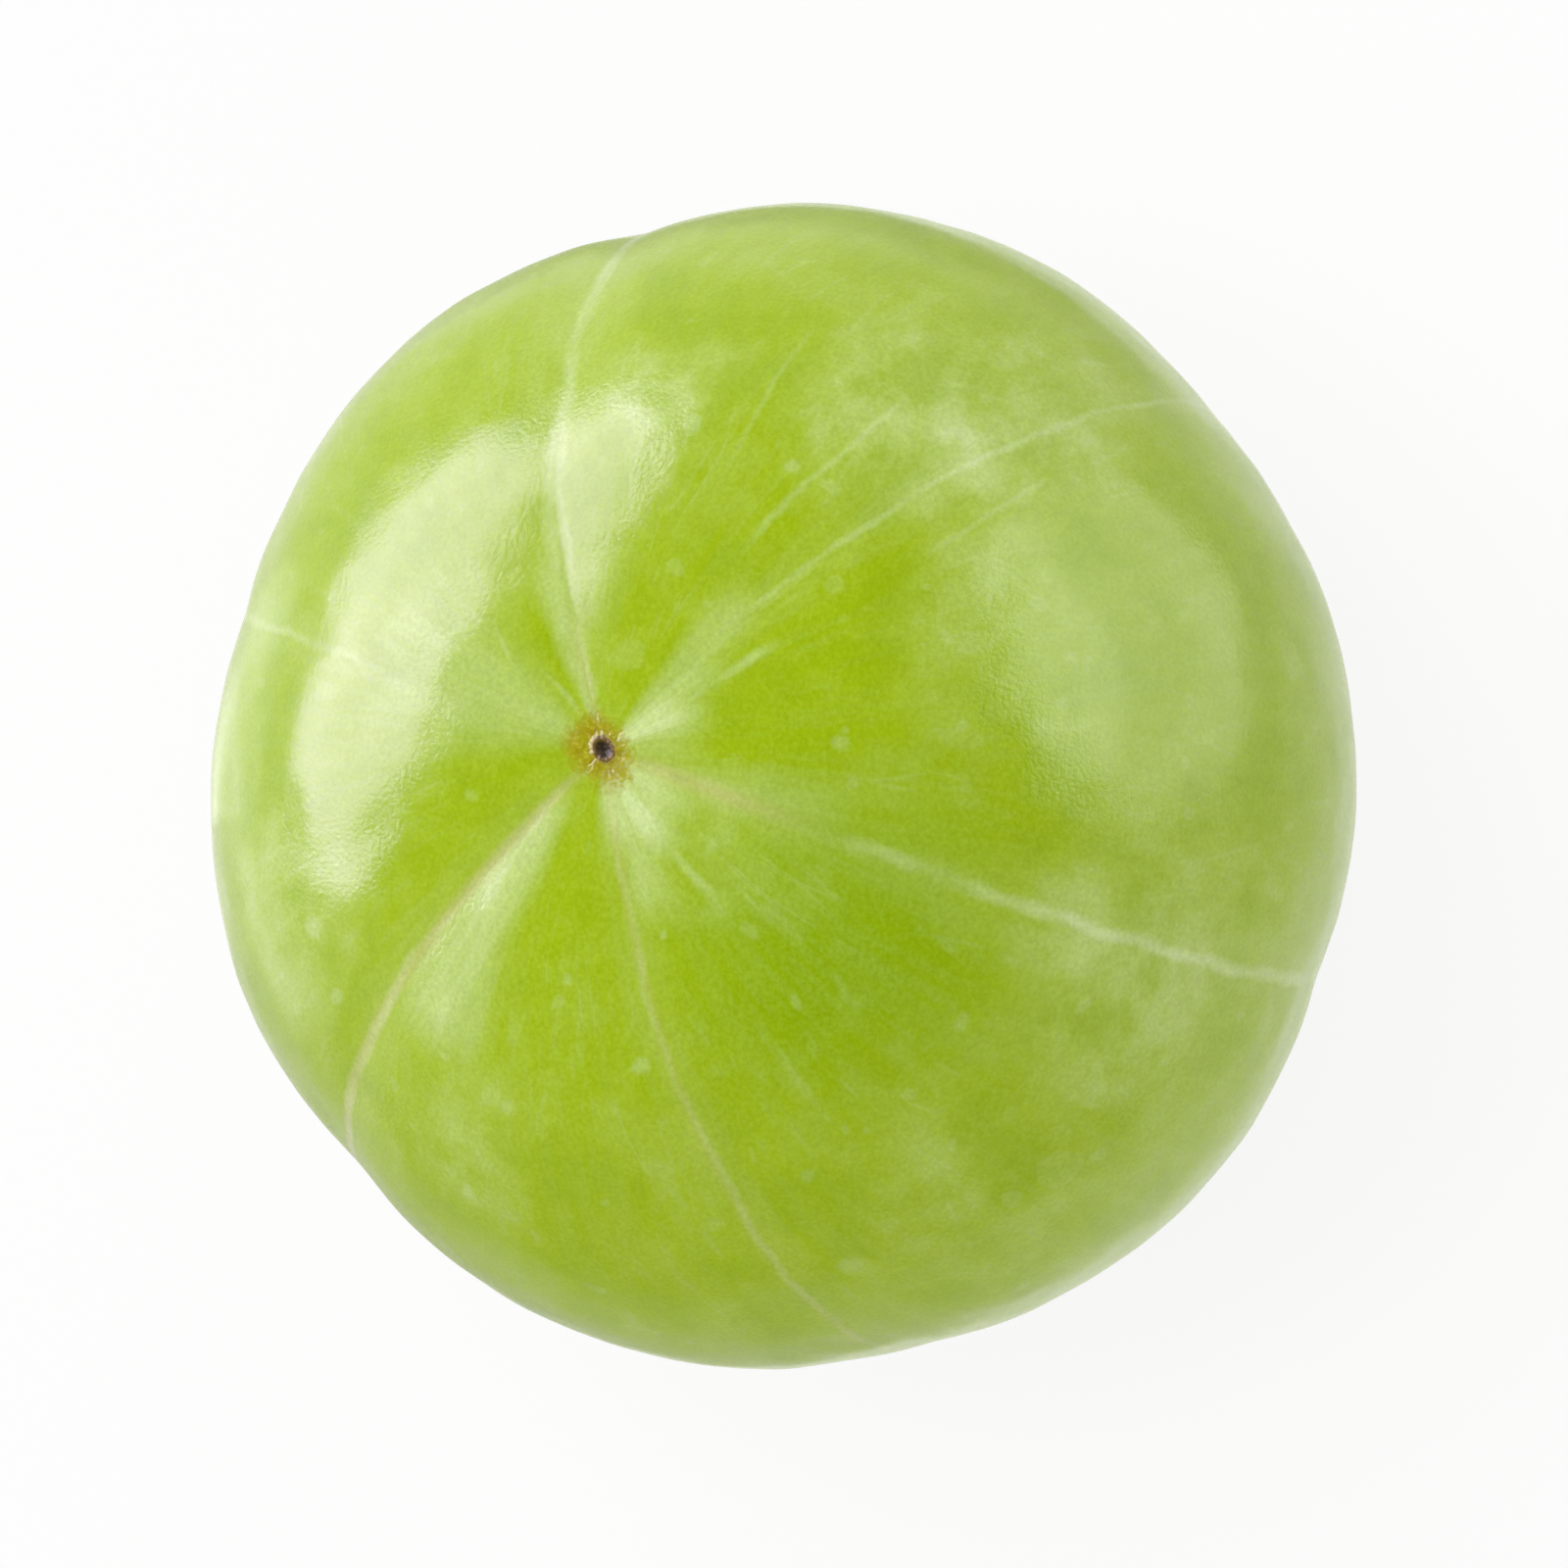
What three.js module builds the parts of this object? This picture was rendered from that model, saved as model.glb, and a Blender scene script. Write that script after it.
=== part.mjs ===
// Indian gooseberry (amla, Phyllanthus emblica): one fresh fruit, resting on its blossom end.
//
// The fruit is a round body, a little flatter than a ball. Six furrows run down it from the
// scar of the stalk on top to the blossom end, and between them the flesh swells into six
// unequal lobes. It grew as one body, so it is one solid.
//
// Frame: millimetres, +Z up through the stalk scar. The origin is on the flat spot that the
// fruit rests on, under the middle of its box.
import * as THREE from "three";

// Driving dimensions, in millimetres and degrees. Angles down from the stalk are seen from the
// middle of the body, and bearings are counted round the axis from +X towards +Y.
const BELLY_RADIUS = 19;
const HALF_HEIGHT = 16; // from the middle to either end, before the stalk's hollow
const FULLNESS = 2.12; // 2 is an ellipsoid, and more gives fuller shoulders
const HOLLOW_DEPTH = 1.6; // the shallow hollow round the stalk scar
const HOLLOW_SPREAD = 28;
const RESTING_SPOT_SPREAD = 10; // from the axis to the edge of the flat spot

const FURROW_SPREAD = 22.2; // how far round the axis a furrow's flanks reach
const FURROW_ROUNDING = 1.3; // half width of the rounded floor between the flanks
const FURROWS = [
  // bow is how far a furrow swings sideways at the belly, and depth is its depth there.
  { bearing: 23, bow: -7.5, depth: 1.1 },
  { bearing: 75.5, bow: 3, depth: 0.5 },
  { bearing: 136.5, bow: 6, depth: 0.81 },
  { bearing: 194.5, bow: 7.5, depth: 0.43 },
  { bearing: 256, bow: -1.5, depth: 0.71 },
  { bearing: 320, bow: -6.5, depth: 0.32 },
];

// Slow swells that keep the body from being perfectly round: the number of crests round the
// belly, how high they stand, and the bearing of the first one.
const SWELLS = [
  { crests: 1, height: 0.81, bearing: -136 }, // one side grew fuller
  { crests: 2, height: 0.19, bearing: 20 }, // the belly is slightly oval
  { crests: 3, height: 0.17, bearing: 11 }, // and slightly three-cornered
];

const COLUMNS_PER_LOBE = 12;
const RINGS = 36;
const SKIN_GREEN = "#a6c544";

const { degToRad, euclideanModulo, lerp } = THREE.MathUtils;
const restingEdge = Math.PI - degToRad(RESTING_SPOT_SPREAD);

// Distance from the middle of the body to its skin with neither furrows nor swells.
function smoothReach(fromStalk) {
  const across = Math.abs(Math.sin(fromStalk)) / BELLY_RADIUS;
  const along = Math.abs(Math.cos(fromStalk)) / HALF_HEIGHT;
  const body = (across ** FULLNESS + along ** FULLNESS) ** (-1 / FULLNESS);
  const hollow = HOLLOW_DEPTH * Math.exp(-((fromStalk / degToRad(HOLLOW_SPREAD)) ** 2));
  return body - hollow;
}

// How far the flat spot lies below the middle of the body.
const restingDrop = smoothReach(restingEdge) * -Math.cos(restingEdge);

// 1 at the belly, falling to 0 at the stalk and at the edge of the flat spot.
function bellyShare(fromStalk) {
  return Math.sin(Math.PI * Math.min(1, fromStalk / restingEdge));
}

// The bearing at which furrow i passes an angle down from the stalk. Furrow 6 is furrow 0 again,
// one full turn further round.
function furrowBearing(i, fromStalk) {
  const { bearing, bow } = FURROWS[i % FURROWS.length];
  const turns = Math.floor(i / FURROWS.length);
  return degToRad(bearing + bow * Math.sin(fromStalk) + 360 * turns);
}

// How deep the furrows cut. Each one is a V with a rounded floor and flanks that ease out.
function furrowDepth(fromStalk, bearing) {
  const floor = degToRad(FURROW_ROUNDING);
  const cut = FURROWS.reduce((total, furrow, i) => {
    const turn = bearing - furrowBearing(i, fromStalk);
    const aside = euclideanModulo(turn + Math.PI, 2 * Math.PI) - Math.PI;
    const upFlank = (Math.hypot(aside, floor) - floor) / degToRad(FURROW_SPREAD);
    return total + furrow.depth * Math.exp(-upFlank);
  }, 0);
  return cut * bellyShare(fromStalk);
}

function swellHeight(fromStalk, bearing) {
  const rise = SWELLS.reduce((total, swell) => {
    const turn = bearing - degToRad(swell.bearing);
    return total + swell.height * Math.cos(swell.crests * turn);
  }, 0);
  return rise * bellyShare(fromStalk) ** 2;
}

// A point of the skin, with the flat spot at height 0.
function skinPoint(fromStalk, bearing) {
  const onFlatSpot = fromStalk > restingEdge;
  const reach = onFlatSpot
    ? restingDrop / -Math.cos(fromStalk)
    : smoothReach(fromStalk) - furrowDepth(fromStalk, bearing) + swellHeight(fromStalk, bearing);
  const out = reach * Math.sin(fromStalk);
  const up = restingDrop + reach * Math.cos(fromStalk);
  return [out * Math.cos(bearing), out * Math.sin(bearing), up];
}

// A sphere's grid is laid over the body, with the same number of columns on every lobe, so that
// a column runs along every furrow.
function fruitGeometry() {
  const columns = COLUMNS_PER_LOBE * FURROWS.length;
  const geometry = new THREE.SphereGeometry(1, columns, RINGS);
  const positions = geometry.getAttribute("position");
  for (let i = 0; i < positions.count; i++) {
    const ring = Math.floor(i / (columns + 1));
    const column = (i % (columns + 1)) % columns; // the last column closes on the first
    const fromStalk = (Math.PI * ring) / RINGS;
    const lobe = Math.floor(column / COLUMNS_PER_LOBE);
    const bearing = lerp(
      furrowBearing(lobe, fromStalk),
      furrowBearing(lobe + 1, fromStalk),
      (column % COLUMNS_PER_LOBE) / COLUMNS_PER_LOBE,
    );
    positions.setXYZ(i, ...skinPoint(fromStalk, bearing));
  }
  geometry.computeBoundingBox();
  const middle = geometry.boundingBox.getCenter(new THREE.Vector3());
  geometry.translate(-middle.x, -middle.y, 0);
  geometry.computeVertexNormals();
  return geometry;
}

const skin = new THREE.MeshStandardMaterial({ color: SKIN_GREEN, roughness: 0.3, metalness: 0 });
const fruit = new THREE.Mesh(fruitGeometry(), skin);
fruit.name = "fruit";

const gooseberry = new THREE.Group();
gooseberry.add(fruit);

export default gooseberry;
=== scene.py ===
# %% [markdown]
# # An Indian gooseberry
# This lesson makes one fresh Indian gooseberry, or amla: a round green fruit about 37 mm across,
# with six pale veins that run down it from the scar of its stalk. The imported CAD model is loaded
# first. It holds the fruit's real size and place, and everything below is fitted to it.

# %% Load the CAD model
import math

import bpy
import numpy as np
from mathutils import Matrix, Vector, noise


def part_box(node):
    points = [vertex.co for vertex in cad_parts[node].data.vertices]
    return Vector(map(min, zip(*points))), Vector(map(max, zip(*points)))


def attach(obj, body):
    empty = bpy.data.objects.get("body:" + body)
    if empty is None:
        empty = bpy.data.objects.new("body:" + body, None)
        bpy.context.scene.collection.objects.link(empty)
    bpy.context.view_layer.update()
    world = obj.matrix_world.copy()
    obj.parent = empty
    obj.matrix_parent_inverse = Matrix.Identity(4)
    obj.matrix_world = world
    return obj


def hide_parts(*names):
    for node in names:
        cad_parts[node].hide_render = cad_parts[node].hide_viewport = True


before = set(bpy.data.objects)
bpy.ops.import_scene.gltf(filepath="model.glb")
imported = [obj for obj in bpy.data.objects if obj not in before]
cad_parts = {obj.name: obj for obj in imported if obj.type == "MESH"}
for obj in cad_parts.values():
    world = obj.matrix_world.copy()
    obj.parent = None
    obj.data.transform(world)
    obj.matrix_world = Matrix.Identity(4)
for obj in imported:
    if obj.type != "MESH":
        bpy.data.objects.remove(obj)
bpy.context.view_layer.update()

MM_PER_METRE = 1000  # the frame is in metres, and the fruit's own sizes are in millimetres
fruit_low, fruit_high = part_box("fruit")
fruit_middle = (fruit_low + fruit_high) / 2
print("CAD box in mm:", [round(MM_PER_METRE * side, 1) for side in fruit_high - fruit_low])

# %% [markdown]
# ## The camera
# The camera looks down on the stalk end, and is turned on its side so that the stalk scar falls
# left of the middle. A short lens close by would make the nearest lobes swell, so this is a long
# lens from further off, which keeps the outline true.

# %% Camera
CAMERA_ELEVATION = math.radians(70.4)
CAMERA_ROLL = math.radians(84.6)
CAMERA_DISTANCE = 0.2104  # metres from the middle of the fruit
CAMERA_LENS = 150  # millimetres, on a 36 mm sensor
AIM_OFFSET = Vector((0.00003, 0.00016, 0))  # metres, and it centres the outline in the view

camera = bpy.data.objects.new("camera", bpy.data.cameras.new("camera"))
camera.data.lens = CAMERA_LENS
bpy.context.scene.collection.objects.link(camera)
bpy.context.scene.camera = camera
backward = Vector((0, -math.cos(CAMERA_ELEVATION), math.sin(CAMERA_ELEVATION)))
upright = backward.to_track_quat("Z", "Y").to_matrix()
turned = upright @ Matrix.Rotation(-CAMERA_ROLL, 3, "Z")
station = fruit_middle + AIM_OFFSET + CAMERA_DISTANCE * backward
camera.matrix_world = Matrix.Translation(station) @ turned.to_4x4()
print("camera at", [round(MM_PER_METRE * c) for c in station], "mm")

# %% [markdown]
# ## The body
# An amla is a little flatter than a ball, with a shallow hollow round its stalk. It could be
# sculpted from a sphere, but a formula keeps it true to the CAD model: the distance from the
# middle of the body to the skin, for every angle down from the stalk. Lengths are in millimetres.

# %% Smooth body
BELLY_RADIUS = 19.0
HALF_HEIGHT = 16.0  # from the middle to either end, before the stalk's hollow
FULLNESS = 2.12  # 2 is an ellipsoid, and more gives fuller shoulders
HOLLOW_DEPTH = 1.6
HOLLOW_SPREAD = math.radians(28)
RESTING_EDGE = math.radians(170)  # where the flat spot that it rests on begins


def smooth_reach(from_stalk):
    """Distance from the middle of the body to its skin with neither furrows nor swells."""
    across = np.abs(np.sin(from_stalk)) / BELLY_RADIUS
    along = np.abs(np.cos(from_stalk)) / HALF_HEIGHT
    body = (across**FULLNESS + along**FULLNESS) ** (-1 / FULLNESS)
    return body - HOLLOW_DEPTH * np.exp(-((from_stalk / HOLLOW_SPREAD) ** 2))


def belly_share(from_stalk):
    """1 at the belly, falling to 0 at the stalk and at the edge of the resting spot."""
    return np.sin(np.pi * np.minimum(1, from_stalk / RESTING_EDGE))


resting_drop = -smooth_reach(RESTING_EDGE) * np.cos(RESTING_EDGE)
print("the middle of the body is", round(resting_drop, 2), "mm above the floor")

# %% [markdown]
# ## Furrows and swells
# Six furrows divide the fruit into six unequal lobes. Each is a V with a rounded floor that cuts
# deepest at the belly and swings a little sideways on its way down. Slow swells keep the body
# from being perfectly round, because one side of a fruit always grows fuller. A sculpting brush
# could press the furrows in, but a formula puts them just where the CAD model has them.

# %% Furrows and swells
FURROW_SPREAD = math.radians(22.2)  # how far round the axis a furrow's flanks reach
FURROW_ROUNDING = math.radians(1.3)
FURROWS = [  # bearing and bow in degrees, depth in mm
    (23, -7.5, 1.10),
    (75.5, 3, 0.50),
    (136.5, 6, 0.81),
    (194.5, 7.5, 0.43),
    (256, -1.5, 0.71),
    (320, -6.5, 0.32),
]
SWELLS = [(1, 0.81, -136), (2, 0.19, 20), (3, 0.17, 11)]  # crests, height, first bearing
LOBES = len(FURROWS)


def furrow_bearing(i, from_stalk):
    """Where furrow i runs. Furrow 6 is furrow 0 again, one full turn further round."""
    bearing, bow, _ = FURROWS[i % LOBES]
    return np.radians(bearing + bow * np.sin(from_stalk) + 360 * (i // LOBES))


def furrow_depth(from_stalk, bearing):
    """How deep the furrows cut into the body."""
    cut = 0
    for i, (_, _, depth) in enumerate(FURROWS):
        aside = (bearing - furrow_bearing(i, from_stalk) + np.pi) % (2 * np.pi) - np.pi
        up_flank = (np.hypot(aside, FURROW_ROUNDING) - FURROW_ROUNDING) / FURROW_SPREAD
        cut = cut + depth * np.exp(-up_flank)
    return cut * belly_share(from_stalk)


def swell_height(from_stalk, bearing):
    """How high the swells lift the skin."""
    rise = sum(height * np.cos(crests * (bearing - math.radians(first)))
               for crests, height, first in SWELLS)
    return rise * belly_share(from_stalk) ** 2


print("deepest furrow", max(depth for _, _, depth in FURROWS), "mm")

# %% [markdown]
# ## The grid
# The skin is a grid of rings round the stalk and columns that run down it, as on a UV sphere. The
# columns of a sphere would cross the furrows, so here a column lies in each furrow, and the others
# crowd towards it, where the skin bends most. The rings crowd towards the two scars, so that
# these can be modelled in the mesh instead of with a bump.

# %% The grid
COLUMNS_PER_LOBE = 64
COLUMNS = COLUMNS_PER_LOBE * LOBES
CROWDING = 0.5  # 0 spaces the columns evenly, and 1 would close them up in the furrows
FIRST_RING, LAST_RING = 0.2, 179.6  # degrees down from the stalk
STALK_STEP, BELLY_STEP, BLOSSOM_STEP = 0.12, 0.8, 0.2  # degrees from ring to ring
STALK_GROWTH, BLOSSOM_GROWTH = 0.055, 0.08  # how much a step grows per degree from either end


def ring_angles():
    """Angles down from the stalk, close together at the two scars."""
    degrees = [FIRST_RING]
    while degrees[-1] < LAST_RING:
        at = degrees[-1]
        near_stalk = STALK_STEP + STALK_GROWTH * at
        near_blossom = BLOSSOM_STEP + BLOSSOM_GROWTH * (180 - at)
        degrees.append(at + min(near_stalk, BELLY_STEP, near_blossom))
    return np.radians(degrees[:-1])


# One column more than the mesh has, because the last closes on the first one turn further on.
column = np.arange(COLUMNS + 1)
step_in_lobe = (column % COLUMNS_PER_LOBE) / COLUMNS_PER_LOBE
lobe_share = step_in_lobe - CROWDING * np.sin(2 * np.pi * step_in_lobe) / (2 * np.pi)
furrow_count = column // COLUMNS_PER_LOBE + lobe_share  # furrows past the first, 0 to 6

from_stalk = ring_angles()[:, None]
furrow_lines = [furrow_bearing(i, from_stalk) for i in range(LOBES + 1)]
lobe_of = column[:-1] // COLUMNS_PER_LOBE
lobe_start = np.hstack([furrow_lines[i] for i in lobe_of])
lobe_end = np.hstack([furrow_lines[i + 1] for i in lobe_of])
bearing = lobe_start + (lobe_end - lobe_start) * lobe_share[:-1]
print(len(from_stalk), "rings of", COLUMNS, "columns")

# %% [markdown]
# ## Ripples
# The skin of a real fruit isn't as smooth as a formula. Low ripples, from 1 to 5 mm wide, bend the
# edges of the highlights. They could be a bump in the material, but moved points also show in the
# outline, so smooth noise moves every point a little in or out.

# %% Skin points and ripples
RIPPLES = [(5.0, 0.070, 3), (2.6, 0.040, 7), (1.2, 0.024, 11)]  # size and height in mm, seed

reach = smooth_reach(from_stalk)
reach = reach - furrow_depth(from_stalk, bearing) + swell_height(from_stalk, bearing)
outward = np.stack([np.sin(from_stalk) * np.cos(bearing),
                    np.sin(from_stalk) * np.sin(bearing),
                    np.cos(from_stalk) + 0 * bearing], -1)
skin = reach[..., None] * outward + [0, 0, resting_drop]


def ripple(points, size, height, seed):
    """Smooth noise at the points, with bumps of that size and height in mm."""
    shift = Vector((seed, seed, seed))
    flat = [noise.noise(Vector(p) / size + shift) for p in points.reshape(-1, 3)]
    return height * np.reshape(flat, points.shape[:-1])


ripples = sum(ripple(skin, *row) for row in RIPPLES)
skin += outward * ripples[..., None]
print("ripples up to", round(np.abs(ripples).max(), 2), "mm")

# %% [markdown]
# ## The two scars
# The stalk leaves a stub of cork less than 1 mm across, with a pit where its vessels ran and a
# shallow moat round it. The fruit rests on its other end, flattened by its own weight, with a
# dimple where the blossom sat. A separate disc would show a seam where none has grown, so both
# are made by moving the points of the skin up and down. Radii and depths are in millimetres.

# %% Stalk scar
SCAR_OVAL = 0.11  # the scars are this share wider one way, and narrower the other
SCAR_BEARING = math.radians(45)
STUB_RADIUS, STUB_HEIGHT, STUB_EDGE = 0.40, 0.10, 0.03
PIT_RADIUS, PIT_DEPTH = 0.26, 0.20
MOAT_RADIUS, MOAT_WIDTH, MOAT_DEPTH = 0.55, 0.14, 0.03
CRUMBLY_RADIUS, CRUMBLY_EDGE = 0.85, 0.1
CRUMBS = (0.11, 0.028, 5)  # size and height in mm, seed


def plateau(radius, edge):
    """1 within a radius of the axis, falling to 0 over a soft edge."""
    return 1 / (1 + np.exp((from_axis - radius) / edge))


def mound(middle, width):
    """1 at a distance from the axis, falling to 0 on both sides."""
    return np.exp(-(((from_axis - middle) / width) ** 2))


from_axis = np.hypot(skin[..., 0], skin[..., 1])
from_axis *= 1 - SCAR_OVAL * np.cos(2 * (bearing - SCAR_BEARING))
on_top = from_stalk < math.radians(20)
stub = STUB_HEIGHT * plateau(STUB_RADIUS, STUB_EDGE) - PIT_DEPTH * mound(0, PIT_RADIUS)
moat = MOAT_DEPTH * mound(MOAT_RADIUS, MOAT_WIDTH)
crumbs = plateau(CRUMBLY_RADIUS, CRUMBLY_EDGE) * ripple(skin, *CRUMBS)
skin[..., 2] += on_top * (stub - moat + crumbs)
print("stub", 2 * STUB_RADIUS, "mm across and", STUB_HEIGHT, "mm high")

# %% Resting spot and blossom scar
REST_ROUNDING = 0.08  # how softly the skin meets the flat spot
DIMPLE_RADIUS, DIMPLE_DEPTH = 0.5, 0.22

at_foot = from_stalk > math.radians(160)
dimple = DIMPLE_DEPTH * at_foot * mound(0, DIMPLE_RADIUS)
skin[..., 2] = (skin[..., 2] + np.hypot(skin[..., 2], REST_ROUNDING)) / 2 + dimple
print("lowest point", round(skin[..., 2].min(), 3), "mm")

# %% [markdown]
# ## Points of the mesh
# A point is added at each pole, and the middle of the fruit's box goes over the origin, as in the
# CAD model. The distance that each ring lies down the skin from the stalk is measured along the
# smooth body, so that marks can be placed in millimetres.

# %% Points
rings = len(from_stalk)
smooth = smooth_reach(from_stalk)
profile = np.hstack([smooth * np.sin(from_stalk), smooth * np.cos(from_stalk)])
steps = np.linalg.norm(np.diff(profile, axis=0), axis=1)
first_step = np.linalg.norm(profile[0] - [0, smooth_reach(0)])
down_skin = first_step + np.concatenate([[0], np.cumsum(steps)])

points = np.vstack([skin.reshape(-1, 3), skin[0].mean(0), skin[-1].mean(0)])
top_pole, foot_pole = rings * COLUMNS, rings * COLUMNS + 1
points[:, :2] -= (points.min(0) + points.max(0))[:2] / 2
skin = points[:-2].reshape(skin.shape)
print("the skin is", round(down_skin[-1], 1), "mm long from pole to pole")

# %% [markdown]
# ## Soft marks, painted on the points
# Pale tissue shows through the skin of an amla: a glow along each vein, short fans round the
# stalk, and clouds further down. Two of the clouds are painted highlight instead: they carry the
# key light's highlights on past where the wax reflects it. A painted image could hold them, but
# they are soft, and wider than the faces of the mesh. So each point is given their strength as a
# number, as in weight paint, and the material reads it. Sharp marks follow later, in the material
# itself.

# %% Painting on points
TURN_PER_COUNT = 2 * math.pi / LOBES  # radians round the axis from one furrow to the next
mm_across = from_axis * TURN_PER_COUNT  # millimetres per furrow count at each point
wave = ripple(skin, 2.2, 1.0, 13)  # pulls the edges of the soft marks out of true
painted = {"off_axis": from_axis}


def ease(value):
    """A smooth step: 0 below 0, and 1 above 1."""
    value = np.clip(value, 0, 1)
    return value * value * (3 - 2 * value)


def counts_past(at):
    """How many furrow counts each point lies past a line, the short way round."""
    return (furrow_count[:-1] - at + LOBES / 2) % LOBES - LOBES / 2


def between(start, end, fade):
    """1 between two distances in mm down the skin, fading to 0 past each end."""
    beyond = np.abs(down_skin - (start + end) / 2) - (end - start) / 2
    return ease(0.5 - beyond / fade)[:, None]


def spot_on_skin(count, mm_down):
    """The point of the skin at a furrow count and a distance down it, to within one face."""
    ring = np.searchsorted(down_skin, mm_down)
    return skin[ring, np.searchsorted(furrow_count, count % LOBES)]


print("points to paint:", skin[..., 0].size)

# %% Glow along the veins
VEINS = [  # furrow count, start and end in mm down the skin, half width in mm, paleness
    (-0.015, 9.0, 43, 0.50, 0.55),
    (1, 5.5, 43, 0.30, 0.45),
    (2, 1.5, 43, 0.38, 0.42),
    (2.97, 2.0, 43, 0.28, 0.26),
    (4, 8.0, 43, 0.46, 0.34),
    (5, 3.0, 43, 0.28, 0.40),
]
GLOW_WIDTH = 4.5  # half widths of the vein
GLOW_PALENESS = 0.28  # share of the vein's
GLOW_FADE = 4  # mm at each end

near_tissue = np.zeros_like(from_axis)
for furrow, start, end, half_width, paleness in VEINS:
    share = ease(1 - np.abs(counts_past(furrow)) * mm_across / (GLOW_WIDTH * half_width))
    vein_glow = GLOW_PALENESS * paleness * share * between(start, end, GLOW_FADE)
    near_tissue = np.maximum(near_tissue, vein_glow)
print("mean glow", round(near_tissue.mean(), 3))

# %% Fans round the stalk
FANS = [  # middle and half width in furrow counts, start and end in mm, paleness
    (5.03, 0.13, 0.8, 6.5, 0.38),
    (4.93, 0.20, 0.6, 4.4, 0.45),
    (4.74, 0.34, -0.3, 3.0, 0.88),
    (4.35, 0.40, 0.0, 2.8, 0.32),
    (3.16, 0.18, 0.7, 5.2, 0.44),
    (3.37, 0.24, 0.2, 3.4, 1.0),
    (3.10, 0.30, -0.3, 3.0, 0.74),
    (3.66, 0.42, -0.3, 3.0, 0.74),
    (4.04, 0.16, 1.5, 8.0, 0.22),
    (-0.14, 0.20, 3.5, 6.5, 0.22),
    (0.86, 0.42, 1.0, 8.5, 0.44),
    (1.05, 0.24, 2.0, 8.5, 0.32),
    (2.16, 0.17, 2.2, 11, 0.60),
    (0.04, 0.12, 0.2, 6.5, 0.48),
]
FAN_WAVE = 0.25  # mm that the noise pulls an edge aside
FAN_EDGE = 1.5  # half widths from the middle line to where a fan has faded out
FAN_SOFTNESS = 1.4  # half widths over which it fades
FAN_FADE = 2.2  # mm at each end

for middle, half, start, end, paleness in FANS:
    off = np.abs(counts_past(middle) + FAN_WAVE * wave / np.maximum(mm_across, 1))
    share = ease((FAN_EDGE * half - off) / (FAN_SOFTNESS * half))
    near_tissue = np.maximum(near_tissue, paleness * share * between(start, end, FAN_FADE))
painted["near_tissue"] = near_tissue
print("palest fan", round(near_tissue.max(), 2))

# %% Clouds, painted highlights and the deep green patch
CLOUDS_AND_PAINTED_HIGHLIGHTS = [  # furrow count, mm down the skin, radius in mm, paleness
    (5.12, 14.8, 5.4, 0.54),
    (5.14, 15.0, 3.8, 0.66),
    (5.02, 18.5, 4.4, 0.40),
    # painted highlight: carries the key light's highlight on, beside the first furrow
    (5.66, 11.5, 3.0, 0.48),
    (4.75, 13.0, 3.4, 0.20),
    (4.55, 11.0, 2.8, 0.16),
    (3.95, 18.5, 6.5, 0.34),
    (3.40, 18.0, 5.5, 0.16),
    (3.60, 4.5, 3.5, 0.16),
    # painted highlight: the soft tail of the key light's long highlight
    (1.62, 13.6, 5.0, 0.34),
    (1.45, 21.0, 5.5, 0.30),
    (2.30, 14.0, 3.8, 0.22),
]
# darkens the green in one broad patch between the fourth and fifth furrows
DEEP_SPOT = (3.7, 9.0, 8.5)  # the largest patch of deep green, given in the same way
DEEPEST = 0.60
CLOUD_WAVE = 0.9  # mm that the noise pulls an edge in or out
CLOUD_SOFTNESS = 0.9  # share of the radius over which a cloud fades


def cloud(count, mm_down, radius):
    """A soft ball in space that the skin passes through."""
    off = np.linalg.norm(skin - spot_on_skin(count, mm_down), axis=-1) + CLOUD_WAVE * wave
    return ease((radius - off) / (CLOUD_SOFTNESS * radius))


painted["pale_clouds_and_highlights"] = np.max([pale * cloud(*row) for *row, pale in CLOUDS_AND_PAINTED_HIGHLIGHTS], axis=0)
painted["deep_green_patch"] = DEEPEST * cloud(*DEEP_SPOT)
print("clouds cover", round(100 * (painted["pale_clouds_and_highlights"] > 0.1).mean()), "% of the points")

# %% Dry tissue in four furrows
DRY_LINES = [  # furrow count, end in mm down the skin, half width in mm, how dry
    (2, 22, 0.38, 0.27),
    (4, 6, 0.40, 0.25),
    (0, 4, 0.28, 0.14),
    (2.97, 24, 0.26, 0.14),
]
DRY_START, DRY_FADE = 1, 3  # mm

dry_tissue = np.zeros_like(from_axis)
for furrow, end, half_width, dryness in DRY_LINES:
    share = ease(1 - np.abs(counts_past(furrow)) * mm_across / half_width)
    dry_tissue = np.maximum(dry_tissue, dryness * share * between(DRY_START, end, DRY_FADE))
painted["dry_tissue"] = dry_tissue
print("driest", round(dry_tissue.max(), 2))

# %% [markdown]
# ## The mesh and its skin map
# The rings are joined into quads, with a fan of triangles over each pole. A UV map called
# skin_map then notes for every corner how many furrows it lies past the first and how many
# millimetres down from the stalk. The map runs on from 5 to 6 in the last lobe, so that no face
# spans the jump back to 0. The painted numbers become attributes of the points.

# %% Faces and skin map
faces, face_map = [], []
highest, lowest = down_skin[0], down_skin[-1]
for c in range(COLUMNS):
    right = (c + 1) % COLUMNS
    left_count, right_count = furrow_count[c], furrow_count[c + 1]
    middle_count = (left_count + right_count) / 2
    faces.append((top_pole, c, right))
    face_map += [(middle_count, highest), (left_count, highest), (right_count, highest)]
    for r in range(rings - 1):
        upper, lower = r * COLUMNS, (r + 1) * COLUMNS
        faces.append((upper + c, lower + c, lower + right, upper + right))
        face_map += [(left_count, down_skin[r]), (left_count, down_skin[r + 1]),
                     (right_count, down_skin[r + 1]), (right_count, down_skin[r])]
    last = (rings - 1) * COLUMNS
    faces.append((foot_pole, last + right, last + c))
    face_map += [(middle_count, lowest), (right_count, lowest), (left_count, lowest)]
print(sum(len(face) - 2 for face in faces), "triangles")

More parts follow.
